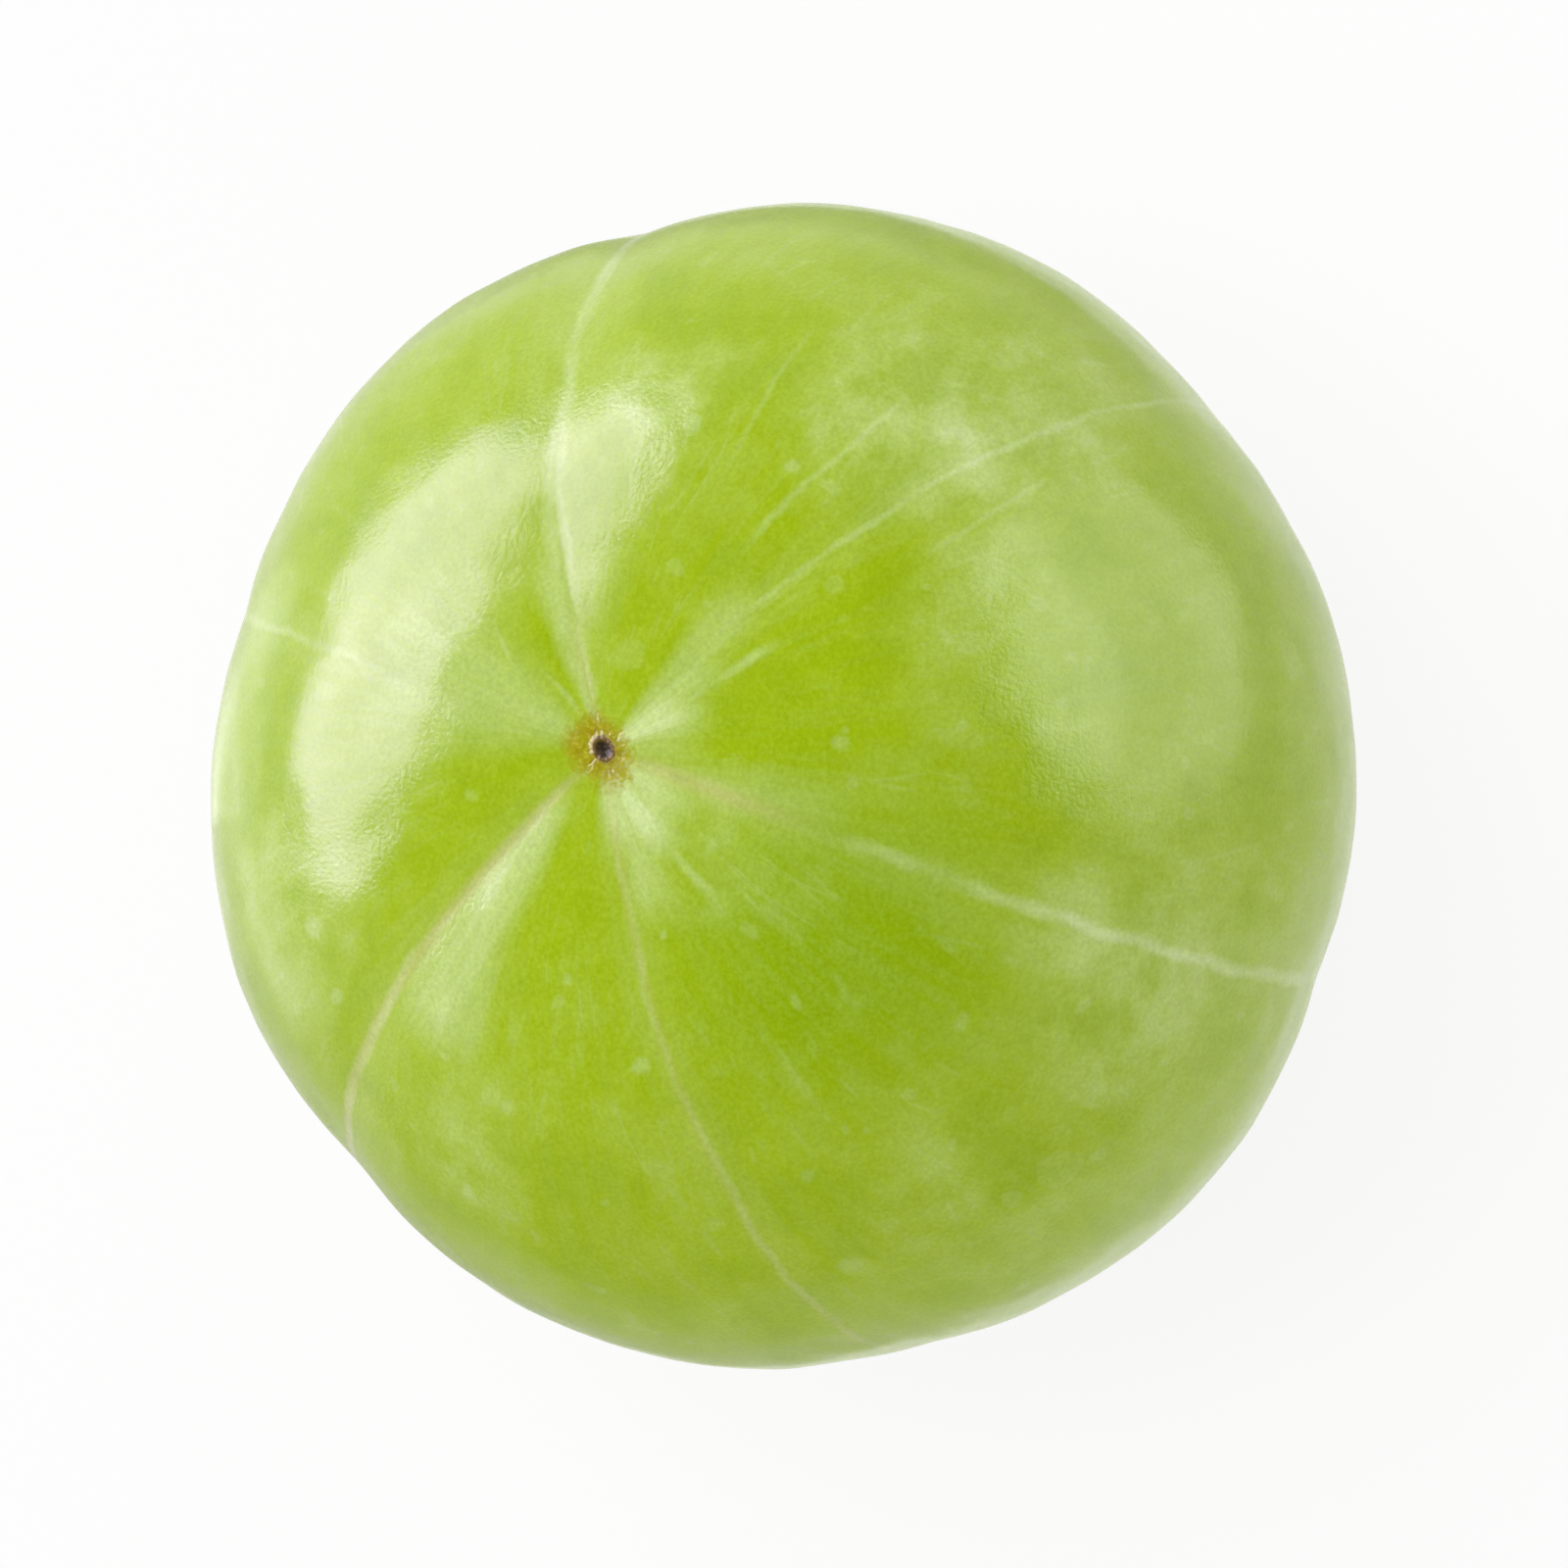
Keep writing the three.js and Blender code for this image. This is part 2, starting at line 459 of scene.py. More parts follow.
# %% Mesh
mesh = bpy.data.meshes.new("gooseberry_skin")
mesh.from_pydata((points / MM_PER_METRE).tolist(), [], faces)
mesh.shade_smooth()
skin_map = mesh.uv_layers.new(name="skin_map", do_init=False)
skin_map.uv.foreach_set("vector", np.array(face_map, np.float32).ravel())
for name, amounts in painted.items():
    at_poles = [amounts[0].mean(), amounts[-1].mean()]
    on_points = np.concatenate([amounts.ravel(), at_poles]).astype(np.float32)
    mesh.attributes.new(name, "FLOAT", "POINT").data.foreach_set("value", on_points)
gooseberry = bpy.data.objects.new("gooseberry_skin", mesh)
bpy.context.scene.collection.objects.link(gooseberry)
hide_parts("fruit")
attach(gooseberry, "root")
print("attributes:", list(painted))

# %% [markdown]
# ## Building materials from nodes
# Every material here is a graph of nodes that works out a colour, a roughness and a relief for
# each spot of the surface. One small function adds a node with its settings and links, so that
# the graph can be read from top to bottom. The numbers of a MapRange are the range that comes in,
# then the range that goes out, which is 0 to 1 where it isn't given. Colours are written as sRGB
# hex values, as a paint program shows them, and Blender works with linear light, so another
# function converts them.

# %% Material helpers
def linear(hex_colour):
    """The linear RGBA of an sRGB colour such as "#a3bc0e", by the sRGB curve."""
    channels = [int(hex_colour[i : i + 2], 16) / 255 for i in (1, 3, 5)]
    return [c / 12.92 if c <= 0.04045 else ((c + 0.055) / 1.055) ** 2.4 for c in channels] + [1]


def add(tree, kind, inputs=(), output=0, **settings):
    """Adds a node with its settings and inputs, and returns one of its outputs.

    The inputs are a list in the node's own order, or a dict by name or number. Another node's
    output is linked, and any other value is set.
    """
    node = tree.nodes.new("ShaderNode" + kind)
    for name, value in settings.items():
        setattr(node, name, value)
    for socket, value in inputs.items() if isinstance(inputs, dict) else enumerate(inputs):
        if isinstance(value, bpy.types.NodeSocket):
            tree.links.new(value, node.inputs[socket])
        else:
            node.inputs[socket].default_value = value
    return node.outputs[output] if node.outputs else None


def new_tree(name, piece):
    """Gives the piece a new material and returns its empty graph."""
    material = bpy.data.materials.new(name)
    material.use_nodes = True
    material.node_tree.nodes.clear()
    material.cycles.emission_sampling = "NONE"  # a glowing card is only seen, and is no lamp
    piece.data.materials.append(material)
    return material.node_tree


print("body green in linear light:", [round(c, 3) for c in linear("#a3bc0e")])

# %% [markdown]
# ## Where a mark lies on the skin
# The marks of the skin follow the fruit: the veins run down from the stalk, and so do the fibres
# that show through. The material therefore reads the skin map that the mesh carries: how many
# furrows a spot lies past the first, and how many millimetres down from the stalk. The distance
# from the axis turns a step round the fruit into millimetres.

# %% Skin coordinates
# A fresh amla's skin is thin and clear, with a bloom of wax over flesh that lets light in. To the
# eye that is a soft glow from inside under a clean, bright highlight.
tree = new_tree("waxy_amla_skin", gooseberry)
spot = add(tree, "TexCoord", output="Object")
place = add(tree, "VectorMath", {0: spot, "Scale": MM_PER_METRE}, operation="SCALE")
count = add(tree, "SeparateXYZ", [add(tree, "UVMap", uv_map="skin_map")], output="X")
down = count.node.outputs["Y"]
axis = add(tree, "Attribute", output="Fac", attribute_name="off_axis")
wide = add(tree, "Math", [axis, TURN_PER_COUNT], operation="MULTIPLY")
mm_per_count = add(tree, "Math", [wide, 0.02], operation="MAXIMUM")  # never 0, as it divides

# A direction round the axis that joins up after a full turn, for the patterns that run down.
turn = add(tree, "Math", [count, TURN_PER_COUNT], operation="MULTIPLY")
turn_x = add(tree, "Math", [turn], operation="COSINE")
turn_y = add(tree, "Math", [turn], operation="SINE")
along = add(tree, "CombineXYZ", [turn_x, turn_y, down])
print(len(tree.nodes), "nodes place a spot on the skin")

# %% [markdown]
# ## Fibres
# Amla flesh is stringy. Its fibres fan out from the stalk and show through the skin as fine,
# pale streaks. There are far too many to place one by one, but noise that is stretched down the
# skin gives such streaks, and a coarser noise gathers them in bundles. Fibres of real width,
# about 0.1 mm, would be too fine to show, so they are drawn about twice as wide.

# %% Fibres
FIBRES = 26  # swings of the noise per radian round the axis, so a fibre fills about half of one
BUNDLES = 7

fine = add(tree, "VectorMath", [along, (FIBRES, FIBRES, 0.35)], operation="MULTIPLY")
fibre = add(tree, "TexNoise", {"Vector": fine, "Scale": 1, "Detail": 1, "Roughness": 0.6})
coarse = add(tree, "VectorMath", [along, (BUNDLES, BUNDLES, 0.2)], operation="MULTIPLY")
bundle = add(tree, "TexNoise", {"Vector": coarse, "Scale": 1, "Detail": 2})
woven = add(tree, "Math", [fibre, bundle], operation="MULTIPLY")
streaks = add(tree, "MapRange", [woven, 0.12, 0.40], interpolation_type="SMOOTHSTEP")
print("a fibre and its gap take up", round(8 / FIBRES, 2), "mm at 8 mm from the axis")

# %% [markdown]
# ## Veins
# The six pale veins lie in the furrows. They aren't ruled lines: each wavers, swells and fades.
# Thin tubes could be laid in the furrows, but the veins lie under the skin and don't stand out
# from it. So a vein is drawn in the material, where the distance across the skin to its middle
# line is small, and a wavering shift of the furrow count bends all the lines. PINGPONG folds the
# counts, so that a distance always goes the short way round the six furrows.

# %% Wavering lines
WAVER = 0.14  # mm to either side

bends = add(tree, "TexNoise", {"Vector": place, "Scale": 0.42, "Detail": 3, "Roughness": 0.6})
waver = add(tree, "MapRange", [bends, 0.3, 0.7, -WAVER, WAVER], clamp=False)
shift = add(tree, "Math", [waver, mm_per_count], operation="DIVIDE")
bent_count = add(tree, "Math", [count, shift], operation="ADD")
# Veins fade and swell along their length, in stretches of 1 to 3 mm.
patchy = add(tree, "TexNoise", {"Vector": place, "Scale": 0.6, "Detail": 2})
strength = add(tree, "MapRange", [patchy, 0.3, 0.65, 0.55, 1.1])


def line(at, start, end, half_width, paleness, lean=0.0, fade=1.5):
    """A pale line between two distances down the skin. Lean is how far its count moves."""
    if lean:
        at = add(tree, "MapRange", [down, start, end, at, at + lean])
    off = add(tree, "Math", [bent_count, at], operation="SUBTRACT")
    off = add(tree, "Math", [off, LOBES / 2], operation="PINGPONG")
    off = add(tree, "Math", [off, mm_per_count], operation="MULTIPLY")
    body = add(tree, "MapRange", [off, half_width, 0, 0, paleness], interpolation_type="SMOOTHSTEP")
    beyond = add(tree, "Math", [down, (start + end) / 2], operation="SUBTRACT")
    beyond = add(tree, "Math", [beyond], operation="ABSOLUTE")
    ends = [beyond, (end - start + fade) / 2, (end - start - fade) / 2]
    window = add(tree, "MapRange", ends, interpolation_type="SMOOTHSTEP")
    return add(tree, "Math", [body, window], operation="MULTIPLY")


def palest(amounts):
    """Lays pale marks over each other, so that the palest one shows at every spot."""
    top = amounts[0]
    for amount in amounts[1:]:
        top = add(tree, "Math", [top, amount], operation="MAXIMUM")
    return top


print("lines waver by up to about", WAVER, "mm")

# %% Veins
vein = palest([line(*row) for row in VEINS])
print(len(tree.nodes), "nodes with the veins")

# %% [markdown]
# ## Threads
# Shorter threads branch off the veins or lie between them. The ones that catch the eye are
# listed one by one, and contour lines of a stretched noise draw the many faint ones.

# %% Threads
# The first four lie along veins, and make them broader for a stretch.
THREADS = [  # furrow count, start and end in mm, half width in mm, paleness, lean in counts
    (0.10, 2.0, 12, 0.50, 0.62, -0.11),
    (-0.01, 12, 30, 0.26, 0.60, 0.00),
    (2.00, 9, 24, 0.44, 0.60, 0.00),
    (4.00, 12, 28, 0.42, 0.62, 0.00),
    (-0.04, 4.5, 10, 0.20, 0.42, 0.03),
    (0.04, 4.5, 9, 0.18, 0.34, -0.03),
    (1.06, 5.5, 9.5, 0.20, 0.34, -0.04),
    (4.97, 6.0, 9.5, 0.18, 0.25, 0.02),
    (0.60, 3.2, 5.4, 0.20, 0.42, -0.09),
    (0.42, 1.3, 3.4, 0.18, 0.42, 0.00),
    (0.80, 8.0, 12.5, 0.20, 0.08, 0.07),
    (0.66, 12, 17, 0.20, 0.08, 0.02),
    (1.34, 4.5, 13, 0.22, 0.12, 0.11),
    (1.56, 10.5, 16, 0.20, 0.10, 0.03),
    (3.34, 1.2, 5.5, 0.24, 0.45, 0.12),
    (4.76, 1.2, 6.0, 0.32, 0.48, 0.03),
    (4.85, 12, 16.5, 0.20, 0.22, 0.05),
    (5.20, 8.0, 14.5, 0.22, 0.26, -0.01),
    (5.42, 9.5, 15, 0.18, 0.20, 0.04),
    (5.69, 7.0, 10, 0.18, 0.18, 0.03),
]
placed_threads = palest([line(*row) for row in THREADS])
print(len(tree.nodes), "nodes with the placed threads")

# %% Faint threads
FAINT_THREADS = 9  # swings of the noise per radian round the axis
FAINT_HALF_WIDTH = 0.03  # of the noise's value, on either side of its middle
FAINT_PALENESS = 0.10

# Clouds, deep green and faint threads all follow this drifting noise.
drift = add(tree, "TexNoise", {"Vector": place, "Scale": 0.35, "Detail": 3, "Roughness": 0.65})
stretch = (FAINT_THREADS, FAINT_THREADS, 0.16)
fanned = add(tree, "VectorMath", [along, stretch], operation="MULTIPLY")
winding = add(tree, "TexNoise", {"Vector": fanned, "Scale": 1, "Detail": 2, "Roughness": 0.45})
off_contour = add(tree, "Math", [winding, 0.5], operation="SUBTRACT")
off_contour = add(tree, "Math", [off_contour], operation="ABSOLUTE")
edges = [off_contour, FAINT_HALF_WIDTH, 0, 0, FAINT_PALENESS]
contour = add(tree, "MapRange", edges, interpolation_type="SMOOTHSTEP")
here = add(tree, "MapRange", [drift, 0.45, 0.6], interpolation_type="SMOOTHSTEP")
faint_threads = add(tree, "Math", [contour, here], operation="MULTIPLY")
print(len(tree.nodes), "nodes with the faint threads")

# %% [markdown]
# ## Flecks
# Small pale flecks, the fruit's breathing pores and healed rubs, are strewn all over it. Voronoi
# cells strew them evenly by chance: the middle of some of the cells becomes a fleck. The ones
# that catch the eye are listed one by one. Three noises together pull their edges out of round.

# %% Flecks
FLECKS = [  # furrow count, mm down the skin, radius in mm, paleness
    (2.87, 9.6, 0.50, 0.32),
    (0.68, 6.0, 0.35, 0.25),
    (0.80, 5.3, 0.30, 0.25),
    (0.50, 12.5, 0.40, 0.10),
    (1.12, 8.6, 0.32, 0.12),
    (1.38, 15.2, 0.45, 0.10),
    (1.72, 12.0, 0.55, 0.35),
    (1.86, 13.0, 0.45, 0.30),
    (2.22, 11.0, 0.40, 0.30),
    (3.12, 6.0, 0.22, 0.35),
    (3.16, 14.5, 0.40, 0.18),
    (4.33, 7.3, 0.38, 0.22),
    (5.24, 10.4, 0.38, 0.28),
    (5.58, 10.5, 0.45, 0.25),
    (2.45, 11.4, 0.42, 0.24),
    (2.32, 15.5, 0.40, 0.26),
    (2.62, 7.1, 0.30, 0.22),
    (3.10, 18.4, 0.60, 0.24),
    (3.43, 9.6, 0.34, 0.20),
    (3.68, 13.5, 0.40, 0.20),
    (4.38, 11.0, 0.34, 0.20),
    (5.15, 5.3, 0.28, 0.24),
]
RAGGED = (1.2, 1.2, 1.2)  # mm, and the noises pull a spot by up to half of this either way

pull = add(tree, "CombineXYZ", [bends, patchy, drift])
pull = add(tree, "VectorMath", [pull, (0.5, 0.5, 0.5)], operation="SUBTRACT")
ragged_place = add(tree, "VectorMath", [pull, RAGGED, place], operation="MULTIPLY_ADD")


def fleck(at, mm_down, radius, paleness):
    """A small round mark, palest within its core."""
    middle = spot_on_skin(at, mm_down).tolist()
    off = add(tree, "VectorMath", [ragged_place, middle], "Value", operation="DISTANCE")
    core = 0.3 * radius
    return add(tree, "MapRange", [off, radius, core, 0, paleness], interpolation_type="SMOOTHSTEP")


def strew(spacing, radius, share, paleness):
    """Flecks in a share of the cells of a Voronoi texture, with a spacing and radius in mm."""
    inputs = {"Vector": ragged_place, "Scale": 1 / spacing}
    from_middle = add(tree, "TexVoronoi", inputs, output="Distance")
    chance = add(tree, "SeparateColor", [from_middle.node.outputs["Color"]], output="Red")
    size = add(tree, "MapRange", [chance, 0, share, radius / spacing, 0])
    inside = add(tree, "Math", [size, from_middle], operation="SUBTRACT")
    edge = [inside, 0, 0.12 / spacing, 0, paleness]
    return add(tree, "MapRange", edge, interpolation_type="SMOOTHSTEP")


placed_flecks = palest([fleck(*row) for row in FLECKS])
small_flecks = strew(spacing=1.5, radius=0.42, share=0.55, paleness=0.14)
large_flecks = strew(spacing=3.6, radius=0.85, share=0.45, paleness=0.10)
flecks = palest([placed_flecks, small_flecks, large_flecks])
print(len(tree.nodes), "nodes with the flecks")

# %% [markdown]
# ## The colours of the skin
# Under the clear wax the flesh is a saturated yellow-green, deeper in some places, and the pale
# tissue is a milky green. The same milky green paints two highlights. The pale marks are gathered
# and mixed over the green, and four of the veins dry to a pinkish tan. A fine grain, the cells of
# the skin, darkens and lightens all of it. Real cells are about 0.05 mm wide and too fine to show,
# so they are drawn three times as coarse.

# %% Colours
GREEN = linear("#a3bc0e")
DEEP_GREEN = linear("#8aa904")
PALE_TISSUE_AND_HIGHLIGHT = linear("#cedd9f")
DRY_TAN = linear("#d6c096")
CELLS_PER_MM = 6.5

near_amount, cloud_and_highlight_amount, deep_amount, dry_amount = [
    add(tree, "Attribute", output="Fac", attribute_name=name)
    for name in ("near_tissue", "pale_clouds_and_highlights", "deep_green_patch", "dry_tissue")]
deep = add(tree, "MapRange", [drift, 0.55, 0.3, 0.0, 0.30], interpolation_type="SMOOTHSTEP")
deep = palest([deep, deep_amount])
green = add(tree, "Mix", {0: deep, 6: GREEN, 7: DEEP_GREEN}, output=2, data_type="RGBA")

streaky = add(tree, "MapRange", [streaks, 0, 1, 0.85, 1.12])
fans = add(tree, "Math", [near_amount, streaky], operation="MULTIPLY")
mottle = add(tree, "MapRange", [drift, 0.38, 0.66, 0.25, 1.25])
veil = add(tree, "MapRange", [drift, 0.45, 0.75, 0.0, 0.10], interpolation_type="SMOOTHSTEP")
# the clouds, two of which are painted highlight, with a pale veil over the drifting noise
pale_clouds_and_highlights = add(tree, "Math", [cloud_and_highlight_amount, mottle, veil], operation="MULTIPLY_ADD")
veins = add(tree, "Math", [palest([vein, placed_threads]), strength], operation="MULTIPLY")
marks = palest([veins, faint_threads, fans, flecks])
pale = add(tree, "Math", [marks, pale_clouds_and_highlights], operation="ADD")
fibre_strength = add(tree, "MapRange", [axis, 2, 8, 0, 0.06])
pale = add(tree, "Math", [streaks, fibre_strength, pale], operation="MULTIPLY_ADD")
cell_noise = {"Vector": place, "Scale": CELLS_PER_MM, "Detail": 1, "Roughness": 0.7}
cells = add(tree, "TexNoise", cell_noise)
milky_cells = add(tree, "MapRange", [cells, 0.25, 0.75, -0.025, 0.025], clamp=False)
pale = add(tree, "Math", [pale, milky_cells], operation="ADD", use_clamp=True)
# mixes in the pale tissue, and the painted highlight of two clouds
colour = add(tree, "Mix", {0: pale, 6: green, 7: PALE_TISSUE_AND_HIGHLIGHT}, output=2, data_type="RGBA")
colour = add(tree, "Mix", {0: dry_amount, 6: colour, 7: DRY_TAN}, output=2, data_type="RGBA")
grain = add(tree, "MapRange", [cells, 0.25, 0.75, 0.92, 1.08], clamp=False)
colour = add(tree, "VectorMath", {0: colour, "Scale": grain}, operation="SCALE")
print(len(tree.nodes), "nodes with the colours")

# %% [markdown]
# ## Cork
# Where the stalk broke off, a brown disc of cork has sealed the fruit, with a darker pit where
# the stalk's vessels ran. A ring of ochre with specks of rust and gold surrounds it. The blossom
# has left a small brown scar at the other end. Cork is matt and opaque, so it lets no light in
# and loses the gloss of the wax. It could be a piece of its own, but it grew from the skin, so
# the skin's material turns into cork there.

# %% Ring of ochre
OCHRE = linear("#a09c04")
RUST = linear("#988404")
GOLD = linear("#c4b83c")
RING_SHIFT = 0.20  # mm that the ring reaches further on one side of the stalk
HALFWAY = 20.0  # mm down the skin: above it is the stalk's scar, and below it the blossom's

at_top = add(tree, "Math", [down, HALFWAY], operation="LESS_THAN")
specks = add(tree, "TexNoise", {"Vector": place, "Scale": 4.5, "Detail": 2, "Roughness": 0.7})
ring_edge = add(tree, "MapRange", [patchy, 0.3, 0.7, 0.85, 1.15])  # mm from the axis
ring_edge = add(tree, "Math", [turn_y, RING_SHIFT, ring_edge], operation="MULTIPLY_ADD")
rag = add(tree, "MapRange", [specks, 0.3, 0.7, -0.25, 0.25], clamp=False)
past_edge = add(tree, "Math", [axis, ring_edge], operation="SUBTRACT")
past_edge = add(tree, "Math", [past_edge, rag], operation="ADD")
ochre = add(tree, "MapRange", [past_edge, 0.32, -0.30, 0, 0.92], interpolation_type="SMOOTHSTEP")
ochre = add(tree, "Math", [ochre, at_top], operation="MULTIPLY")
rust = add(tree, "MapRange", [specks, 0.40, 0.66], interpolation_type="SMOOTHSTEP")
ring = add(tree, "Mix", {0: rust, 6: OCHRE, 7: RUST}, output=2, data_type="RGBA")
gold = add(tree, "MapRange", [cells, 0.48, 0.70, 0, 0.6], interpolation_type="SMOOTHSTEP")
ring = add(tree, "Mix", {0: gold, 6: ring, 7: GOLD}, output=2, data_type="RGBA")
colour = add(tree, "Mix", {0: ochre, 6: colour, 7: ring}, output=2, data_type="RGBA")
print(len(tree.nodes), "nodes with the ring")

# %% Cork of the two scars
CORK_PIT = linear("#2a2004")
CORK = linear("#665008")
CORK_RIM = linear("#9c8c40")
STALK_CORK_RADIUS = 0.42
BLOSSOM_CORK_RADIUS = 0.80

radii = [down, HALFWAY, HALFWAY + 1, STALK_CORK_RADIUS, BLOSSOM_CORK_RADIUS]
cork_radius = add(tree, "MapRange", radii)
# The distance from the axis in mm, made ragged, sorts the scar into pit, disc and rim.
rough_axis = add(tree, "Math", [rag, 0.15, axis], operation="MULTIPLY_ADD")
past_cork = add(tree, "Math", [rough_axis, cork_radius], operation="SUBTRACT")
cork_share = add(tree, "MapRange", [past_cork, 0.04, -0.04], interpolation_type="SMOOTHSTEP")
pit_share = add(tree, "MapRange", [rough_axis, 0.32, 0.20], interpolation_type="SMOOTHSTEP")
rim_share = add(tree, "MapRange", [rough_axis, 0.35, 0.41], interpolation_type="SMOOTHSTEP")
rim_share = add(tree, "Math", [rim_share, at_top], operation="MULTIPLY")
cork = add(tree, "Mix", {0: rim_share, 6: CORK, 7: CORK_RIM}, output=2, data_type="RGBA")
cork = add(tree, "Mix", {0: pit_share, 6: cork, 7: CORK_PIT}, output=2, data_type="RGBA")
colour = add(tree, "Mix", {0: cork_share, 6: colour, 7: cork}, output=2, data_type="RGBA")
print(len(tree.nodes), "nodes with the cork")

# %% [markdown]
# ## Relief and shader
# The cells of the skin stand up a little, which breaks up the edges of the highlights. So fine a
# relief would need millions of faces, so a bump node tilts the light instead. Heights are in
# millimetres here, so the node is told how long one of them is in metres. Green flesh lets light
# in: subsurface scattering carries it about 1 mm through, green the furthest. The wax on top is
# smooth, and bends light as plant waxes do, with an IOR of 1.4.

# %% Relief and shader
CELL_HEIGHT = 0.011  # mm
LIGHT_REACH = (0.9, 1.1, 0.35)  # mm through the flesh, for red, green and blue
WAX_IOR = 1.4
WAX_ROUGHNESS, CORK_ROUGHNESS = 0.20, 0.45

relief = add(tree, "Math", [cells, CELL_HEIGHT], operation="MULTIPLY")
bump = add(tree, "Bump", {"Height": relief, "Distance": 1 / MM_PER_METRE, "Strength": 1.0})

half_ochre = add(tree, "Math", [ochre, 0.5], operation="MULTIPLY")  # the ring is half opaque
sealed_share = add(tree, "Math", [cork_share, half_ochre], operation="MAXIMUM")
lets_light_in = add(tree, "Math", [1.0, sealed_share], operation="SUBTRACT")
roughness = add(tree, "MapRange", [cork_share, 0, 1, WAX_ROUGHNESS, CORK_ROUGHNESS])
shader = add(tree, "BsdfPrincipled", {
    "Base Color": colour,
    "Roughness": roughness,
    "IOR": WAX_IOR,
    "Normal": bump,
    "Subsurface Weight": lets_light_in,
    "Subsurface Radius": LIGHT_REACH,
    "Subsurface Scale": 1 / MM_PER_METRE,
})
add(tree, "OutputMaterial", {"Surface": shader})
print(len(tree.nodes), "nodes in the whole skin")

# %% [markdown]
# ## The floor
# A sheet of white paper carries the fruit. Lamps strong enough to turn it pure white would bleach
# the fruit as well. So to the camera, and in reflections, it glows most of the way to white, and
# the rest of it is matt, so that the fruit's shadow stays on it.

# %% Floor
FLOOR_HALF = 1.5  # metres
GLOW_SHARE = 0.87  # how much of the paper's look is glow
PAPER_WHITE = linear("#e7e7e7")
PURE_WHITE = linear("#ffffff")


def studio_piece(name, corners, faces=((0, 1, 2, 3),)):
    """A piece of the studio, which the fruit's own model leaves out. Lengths are in metres."""
    mesh = bpy.data.meshes.new(name)
    mesh.from_pydata(corners, [], faces)
    piece = bpy.data.objects.new(name, mesh)
    bpy.context.scene.collection.objects.link(piece)
    return piece


corner_signs = ((-1, -1), (1, -1), (1, 1), (-1, 1))
floor = studio_piece("floor", [(x * FLOOR_HALF, y * FLOOR_HALF, 0) for x, y in corner_signs])

# Uncoated paper scatters light evenly, so it has no highlight, only a soft shadow under the fruit.
tree = new_tree("white_paper", floor)
camera_ray = add(tree, "LightPath", output="Is Camera Ray")
glossy_ray = camera_ray.node.outputs["Is Glossy Ray"]
clear_ray = camera_ray.node.outputs["Is Transmission Ray"]
seen = add(tree, "Math", [camera_ray, glossy_ray], operation="ADD")
seen = add(tree, "Math", [seen, clear_ray], operation="ADD", use_clamp=True)
seen = add(tree, "Math", [seen, GLOW_SHARE], operation="MULTIPLY")
matt = add(tree, "BsdfDiffuse", {"Color": PAPER_WHITE})
glow = add(tree, "Emission", {"Color": PURE_WHITE, "Strength": 1.0})
add(tree, "OutputMaterial", {"Surface": add(tree, "MixShader", [seen, matt, glow])})
print("floor of", 2 * FLOOR_HALF, "m")

# %% [markdown]
# ## The key light
# The fruit is lit as in a small product studio. A large oval softbox on the left gives the long
# highlight on the left lobes. One lamp that is bright enough for that highlight would bleach the
# flesh. So the softbox is made of two lamps: a weaker and higher one lights only the flesh, and a
# brighter one, which the flesh doesn't see, shows only in the wax.

# %% Key light
KEY_DISTANCE = 0.60  # metres
SHEEN_DISTANCE = 0.56
SHEEN_TINT = linear("#eddbff")[:3]  # faintly violet, so that green flesh doesn't tint the highlight


def lamp(name, station, facing, width, height, radiance, roll=0):
    """An oval lamp, turned to face a way and rolled. Lengths are in metres, the roll in degrees.

    Radiance is how bright its face looks, and 1 is the white of the floor.
    """
    data = bpy.data.lights.new(name, "AREA")
    data.shape = "ELLIPSE"
    data.size, data.size_y = width, height
    data.energy = radiance * math.pi * (math.pi / 4 * width * height)
    piece = bpy.data.objects.new(name, data)
    bpy.context.scene.collection.objects.link(piece)
    tilt = (-facing).to_track_quat("Z", "Y").to_matrix().to_4x4()
    rolled = tilt @ Matrix.Rotation(math.radians(roll), 4, "Z")
    piece.matrix_world = Matrix.Translation(station) @ rolled
    piece.visible_camera = False
    return piece


def toward(bearing, elevation):
    """The direction from the fruit at a bearing and an elevation in degrees."""
    b, e = math.radians(bearing), math.radians(elevation)
    return Vector((math.cos(b) * math.cos(e), math.sin(b) * math.cos(e), math.sin(e)))


key_way = toward(74, 50)
key_station = fruit_middle + KEY_DISTANCE * key_way
key_softbox = lamp("key_softbox", key_station, -key_way, 0.96, 0.62, radiance=1.45)
key_softbox.visible_glossy = False

sheen_way = toward(70, 29)
sheen_station = fruit_middle + SHEEN_DISTANCE * sheen_way
key_sheen = lamp("key_sheen", sheen_station, -sheen_way, 0.78, 0.44, radiance=10.8, roll=-14)
key_sheen.data.color = SHEEN_TINT
key_sheen.visible_diffuse = False
print("key light at", [round(c, 2) for c in key_station], "m")

# %% [markdown]
# ## Cards and fills
# A narrow white card that leans close on the right gives the soft patch there, and a small one on
# the floor brightens the left edge. They are lamps that only the wax sees. Two big fills with no
# highlight of their own keep the shadows light.

